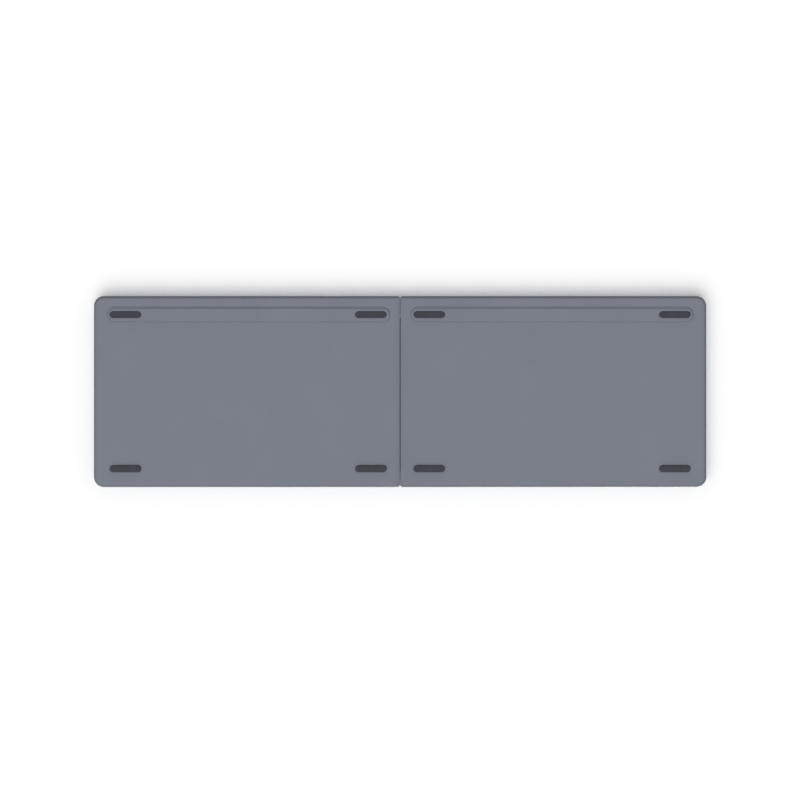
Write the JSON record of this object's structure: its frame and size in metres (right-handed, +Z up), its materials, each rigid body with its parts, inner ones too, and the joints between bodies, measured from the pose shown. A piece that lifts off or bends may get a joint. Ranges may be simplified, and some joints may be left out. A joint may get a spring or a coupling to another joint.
{
  "type": "folding keyboard",
  "caption": "Slim two-leaf folding keyboard: casings with low keys, joined by a barrel hinge along the fold, standing on pill-shaped rubber feet.",
  "frame": {"origin": "middle of the open keyboard on the surface that its feet stand on", "axes": "+X along the width, to the user's right; +Y away from the user, towards the rear edge; +Z up out of the keys"},
  "size_m": [0.306, 0.0954, 0.0103],
  "materials": {
    "shell": "satin blue-grey moulded plastic",
    "keycap": "fine matte moulded plastic",
    "plate_steel": "stamped sheet steel",
    "film": "printed polyester film",
    "dome_rubber": "translucent silicone",
    "link_plastic": "natural acetal",
    "foot_rubber": "matte dark grey rubber",
    "fastener_steel": "plain steel",
    "hinge_metal": "satin dark grey coating on zinc",
    "cable_jacket": "black flexible jacket",
    "magnet_metal": "nickel plated",
    "battery_foil": "foil pouch",
    "board": "solder resist on glass fibre",
    "socket_steel": "drawn stainless sheet",
    "knob_plastic": "fine matte moulded plastic"
  },
  "bodies": {
    "left_half": {"left_bottom_shell": "shell", "left_top_frame": "shell", "left_support_plate": "plate_steel", "left_membrane": "film", "left_dome_sheet": "dome_rubber", "left_scissor_links": "link_plastic", "left_feet": "foot_rubber", "left_screws": "fastener_steel", "left_hinge_knuckles": "hinge_metal", "left_hinge_cable": "cable_jacket", "left_magnets": "magnet_metal", "hinge_pins": "fastener_steel", "battery": "battery_foil"},
    "right_half": {"right_bottom_shell": "shell", "right_top_frame": "shell", "right_support_plate": "plate_steel", "right_membrane": "film", "right_dome_sheet": "dome_rubber", "right_scissor_links": "link_plastic", "right_feet": "foot_rubber", "right_screws": "fastener_steel", "right_hinge_knuckles": "hinge_metal", "right_hinge_cable": "cable_jacket", "right_magnets": "magnet_metal", "main_board": "board", "usb_c_socket": "socket_steel"},
    "power_knob": {"power_switch_knob": "knob_plastic"},
    "key_q_cap": {"key_q": "keycap"},
    "key_w_cap": {"key_w": "keycap"},
    "key_e_cap": {"key_e": "keycap"},
    "key_r_cap": {"key_r": "keycap"},
    "key_t_cap": {"key_t": "keycap"},
    "key_a_cap": {"key_a": "keycap"},
    "key_s_cap": {"key_s": "keycap"},
    "key_d_cap": {"key_d": "keycap"},
    "key_f_cap": {"key_f": "keycap"},
    "key_g_cap": {"key_g": "keycap"},
    "key_z_cap": {"key_z": "keycap"},
    "key_x_cap": {"key_x": "keycap"},
    "key_c_cap": {"key_c": "keycap"},
    "key_v_cap": {"key_v": "keycap"},
    "key_b_cap": {"key_b": "keycap"},
    "left_number_keys_caps": {"left_number_keys": "keycap"},
    "left_modifier_keys_caps": {"left_modifier_keys": "keycap"},
    "left_space_key_cap": {"left_space_key": "keycap"},
    "key_y_cap": {"key_y": "keycap"},
    "key_u_cap": {"key_u": "keycap"},
    "key_i_cap": {"key_i": "keycap"},
    "key_o_cap": {"key_o": "keycap"},
    "key_p_cap": {"key_p": "keycap"},
    "key_h_cap": {"key_h": "keycap"},
    "key_j_cap": {"key_j": "keycap"},
    "key_k_cap": {"key_k": "keycap"},
    "key_l_cap": {"key_l": "keycap"},
    "key_n_cap": {"key_n": "keycap"},
    "key_m_cap": {"key_m": "keycap"},
    "right_number_keys_caps": {"right_number_keys": "keycap"},
    "right_function_keys_caps": {"right_function_keys": "keycap"},
    "punctuation_keys_caps": {"punctuation_keys": "keycap"},
    "right_space_key_cap": {"right_space_key": "keycap"}
  },
  "joints": [
    {"name": "fold", "type": "hinge", "parent": "left_half", "child": "right_half", "pos_m": [0, 0, 0.0082], "axis": [0, -1, 0], "range_deg": [0, 180]},
    {"name": "power_switch", "type": "slide", "parent": "right_half", "child": "power_knob", "axis": [1, 0, 0], "range_m": [0, 0.002]},
    {"name": "press_q", "type": "slide", "parent": "left_half", "child": "key_q_cap", "axis": [0, 0, 1], "range_m": [-0.0013, 0], "stiffness_N_per_m": 200, "springref_m": 0.0015, "deforming": ["left_dome_sheet", "left_scissor_links"]},
    {"name": "press_w", "type": "slide", "parent": "left_half", "child": "key_w_cap", "axis": [0, 0, 1], "range_m": [-0.0013, 0], "stiffness_N_per_m": 200, "springref_m": 0.0015, "deforming": ["left_dome_sheet", "left_scissor_links"]},
    {"name": "press_e", "type": "slide", "parent": "left_half", "child": "key_e_cap", "axis": [0, 0, 1], "range_m": [-0.0013, 0], "stiffness_N_per_m": 200, "springref_m": 0.0015, "deforming": ["left_dome_sheet", "left_scissor_links"]},
    {"name": "press_r", "type": "slide", "parent": "left_half", "child": "key_r_cap", "axis": [0, 0, 1], "range_m": [-0.0013, 0], "stiffness_N_per_m": 200, "springref_m": 0.0015, "deforming": ["left_dome_sheet", "left_scissor_links"]},
    {"name": "press_t", "type": "slide", "parent": "left_half", "child": "key_t_cap", "axis": [0, 0, 1], "range_m": [-0.0013, 0], "stiffness_N_per_m": 200, "springref_m": 0.0015, "deforming": ["left_dome_sheet", "left_scissor_links"]},
    {"name": "press_a", "type": "slide", "parent": "left_half", "child": "key_a_cap", "axis": [0, 0, 1], "range_m": [-0.0013, 0], "stiffness_N_per_m": 200, "springref_m": 0.0015, "deforming": ["left_dome_sheet", "left_scissor_links"]},
    {"name": "press_s", "type": "slide", "parent": "left_half", "child": "key_s_cap", "axis": [0, 0, 1], "range_m": [-0.0013, 0], "stiffness_N_per_m": 200, "springref_m": 0.0015, "deforming": ["left_dome_sheet", "left_scissor_links"]},
    {"name": "press_d", "type": "slide", "parent": "left_half", "child": "key_d_cap", "axis": [0, 0, 1], "range_m": [-0.0013, 0], "stiffness_N_per_m": 200, "springref_m": 0.0015, "deforming": ["left_dome_sheet", "left_scissor_links"]},
    {"name": "press_f", "type": "slide", "parent": "left_half", "child": "key_f_cap", "axis": [0, 0, 1], "range_m": [-0.0013, 0], "stiffness_N_per_m": 200, "springref_m": 0.0015, "deforming": ["left_dome_sheet", "left_scissor_links"]},
    {"name": "press_g", "type": "slide", "parent": "left_half", "child": "key_g_cap", "axis": [0, 0, 1], "range_m": [-0.0013, 0], "stiffness_N_per_m": 200, "springref_m": 0.0015, "deforming": ["left_dome_sheet", "left_scissor_links"]},
    {"name": "press_z", "type": "slide", "parent": "left_half", "child": "key_z_cap", "axis": [0, 0, 1], "range_m": [-0.0013, 0], "stiffness_N_per_m": 200, "springref_m": 0.0015, "deforming": ["left_dome_sheet", "left_scissor_links"]},
    {"name": "press_x", "type": "slide", "parent": "left_half", "child": "key_x_cap", "axis": [0, 0, 1], "range_m": [-0.0013, 0], "stiffness_N_per_m": 200, "springref_m": 0.0015, "deforming": ["left_dome_sheet", "left_scissor_links"]},
    {"name": "press_c", "type": "slide", "parent": "left_half", "child": "key_c_cap", "axis": [0, 0, 1], "range_m": [-0.0013, 0], "stiffness_N_per_m": 200, "springref_m": 0.0015, "deforming": ["left_dome_sheet", "left_scissor_links"]},
    {"name": "press_v", "type": "slide", "parent": "left_half", "child": "key_v_cap", "axis": [0, 0, 1], "range_m": [-0.0013, 0], "stiffness_N_per_m": 200, "springref_m": 0.0015, "deforming": ["left_dome_sheet", "left_scissor_links"]},
    {"name": "press_b", "type": "slide", "parent": "left_half", "child": "key_b_cap", "axis": [0, 0, 1], "range_m": [-0.0013, 0], "stiffness_N_per_m": 200, "springref_m": 0.0015, "deforming": ["left_dome_sheet", "left_scissor_links"]},
    {"name": "press_left_number_keys", "type": "slide", "parent": "left_half", "child": "left_number_keys_caps", "axis": [0, 0, 1], "range_m": [-0.0013, 0], "stiffness_N_per_m": 200, "springref_m": 0.0015, "deforming": ["left_dome_sheet", "left_scissor_links"]},
    {"name": "press_left_modifier_keys", "type": "slide", "parent": "left_half", "child": "left_modifier_keys_caps", "axis": [0, 0, 1], "range_m": [-0.0013, 0], "stiffness_N_per_m": 200, "springref_m": 0.0015, "deforming": ["left_dome_sheet", "left_scissor_links"]},
    {"name": "press_left_space_key", "type": "slide", "parent": "left_half", "child": "left_space_key_cap", "axis": [0, 0, 1], "range_m": [-0.0013, 0], "stiffness_N_per_m": 200, "springref_m": 0.0015, "deforming": ["left_dome_sheet", "left_scissor_links"]},
    {"name": "press_y", "type": "slide", "parent": "right_half", "child": "key_y_cap", "axis": [0, 0, 1], "range_m": [-0.0013, 0], "stiffness_N_per_m": 200, "springref_m": 0.0015, "deforming": ["right_dome_sheet", "right_scissor_links"]},
    {"name": "press_u", "type": "slide", "parent": "right_half", "child": "key_u_cap", "axis": [0, 0, 1], "range_m": [-0.0013, 0], "stiffness_N_per_m": 200, "springref_m": 0.0015, "deforming": ["right_dome_sheet", "right_scissor_links"]},
    {"name": "press_i", "type": "slide", "parent": "right_half", "child": "key_i_cap", "axis": [0, 0, 1], "range_m": [-0.0013, 0], "stiffness_N_per_m": 200, "springref_m": 0.0015, "deforming": ["right_dome_sheet", "right_scissor_links"]},
    {"name": "press_o", "type": "slide", "parent": "right_half", "child": "key_o_cap", "axis": [0, 0, 1], "range_m": [-0.0013, 0], "stiffness_N_per_m": 200, "springref_m": 0.0015, "deforming": ["right_dome_sheet", "right_scissor_links"]},
    {"name": "press_p", "type": "slide", "parent": "right_half", "child": "key_p_cap", "axis": [0, 0, 1], "range_m": [-0.0013, 0], "stiffness_N_per_m": 200, "springref_m": 0.0015, "deforming": ["right_dome_sheet", "right_scissor_links"]},
    {"name": "press_h", "type": "slide", "parent": "right_half", "child": "key_h_cap", "axis": [0, 0, 1], "range_m": [-0.0013, 0], "stiffness_N_per_m": 200, "springref_m": 0.0015, "deforming": ["right_dome_sheet", "right_scissor_links"]},
    {"name": "press_j", "type": "slide", "parent": "right_half", "child": "key_j_cap", "axis": [0, 0, 1], "range_m": [-0.0013, 0], "stiffness_N_per_m": 200, "springref_m": 0.0015, "deforming": ["right_dome_sheet", "right_scissor_links"]},
    {"name": "press_k", "type": "slide", "parent": "right_half", "child": "key_k_cap", "axis": [0, 0, 1], "range_m": [-0.0013, 0], "stiffness_N_per_m": 200, "springref_m": 0.0015, "deforming": ["right_dome_sheet", "right_scissor_links"]},
    {"name": "press_l", "type": "slide", "parent": "right_half", "child": "key_l_cap", "axis": [0, 0, 1], "range_m": [-0.0013, 0], "stiffness_N_per_m": 200, "springref_m": 0.0015, "deforming": ["right_dome_sheet", "right_scissor_links"]},
    {"name": "press_n", "type": "slide", "parent": "right_half", "child": "key_n_cap", "axis": [0, 0, 1], "range_m": [-0.0013, 0], "stiffness_N_per_m": 200, "springref_m": 0.0015, "deforming": ["right_dome_sheet", "right_scissor_links"]},
    {"name": "press_m", "type": "slide", "parent": "right_half", "child": "key_m_cap", "axis": [0, 0, 1], "range_m": [-0.0013, 0], "stiffness_N_per_m": 200, "springref_m": 0.0015, "deforming": ["right_dome_sheet", "right_scissor_links"]},
    {"name": "press_right_number_keys", "type": "slide", "parent": "right_half", "child": "right_number_keys_caps", "axis": [0, 0, 1], "range_m": [-0.0013, 0], "stiffness_N_per_m": 200, "springref_m": 0.0015, "deforming": ["right_dome_sheet", "right_scissor_links"]},
    {"name": "press_right_function_keys", "type": "slide", "parent": "right_half", "child": "right_function_keys_caps", "axis": [0, 0, 1], "range_m": [-0.0013, 0], "stiffness_N_per_m": 200, "springref_m": 0.0015, "deforming": ["right_dome_sheet", "right_scissor_links"]},
    {"name": "press_punctuation_keys", "type": "slide", "parent": "right_half", "child": "punctuation_keys_caps", "axis": [0, 0, 1], "range_m": [-0.0013, 0], "stiffness_N_per_m": 200, "springref_m": 0.0015, "deforming": ["right_dome_sheet", "right_scissor_links"]},
    {"name": "press_right_space_key", "type": "slide", "parent": "right_half", "child": "right_space_key_cap", "axis": [0, 0, 1], "range_m": [-0.0013, 0], "stiffness_N_per_m": 200, "springref_m": 0.0015, "deforming": ["right_dome_sheet", "right_scissor_links"]}
  ]
}
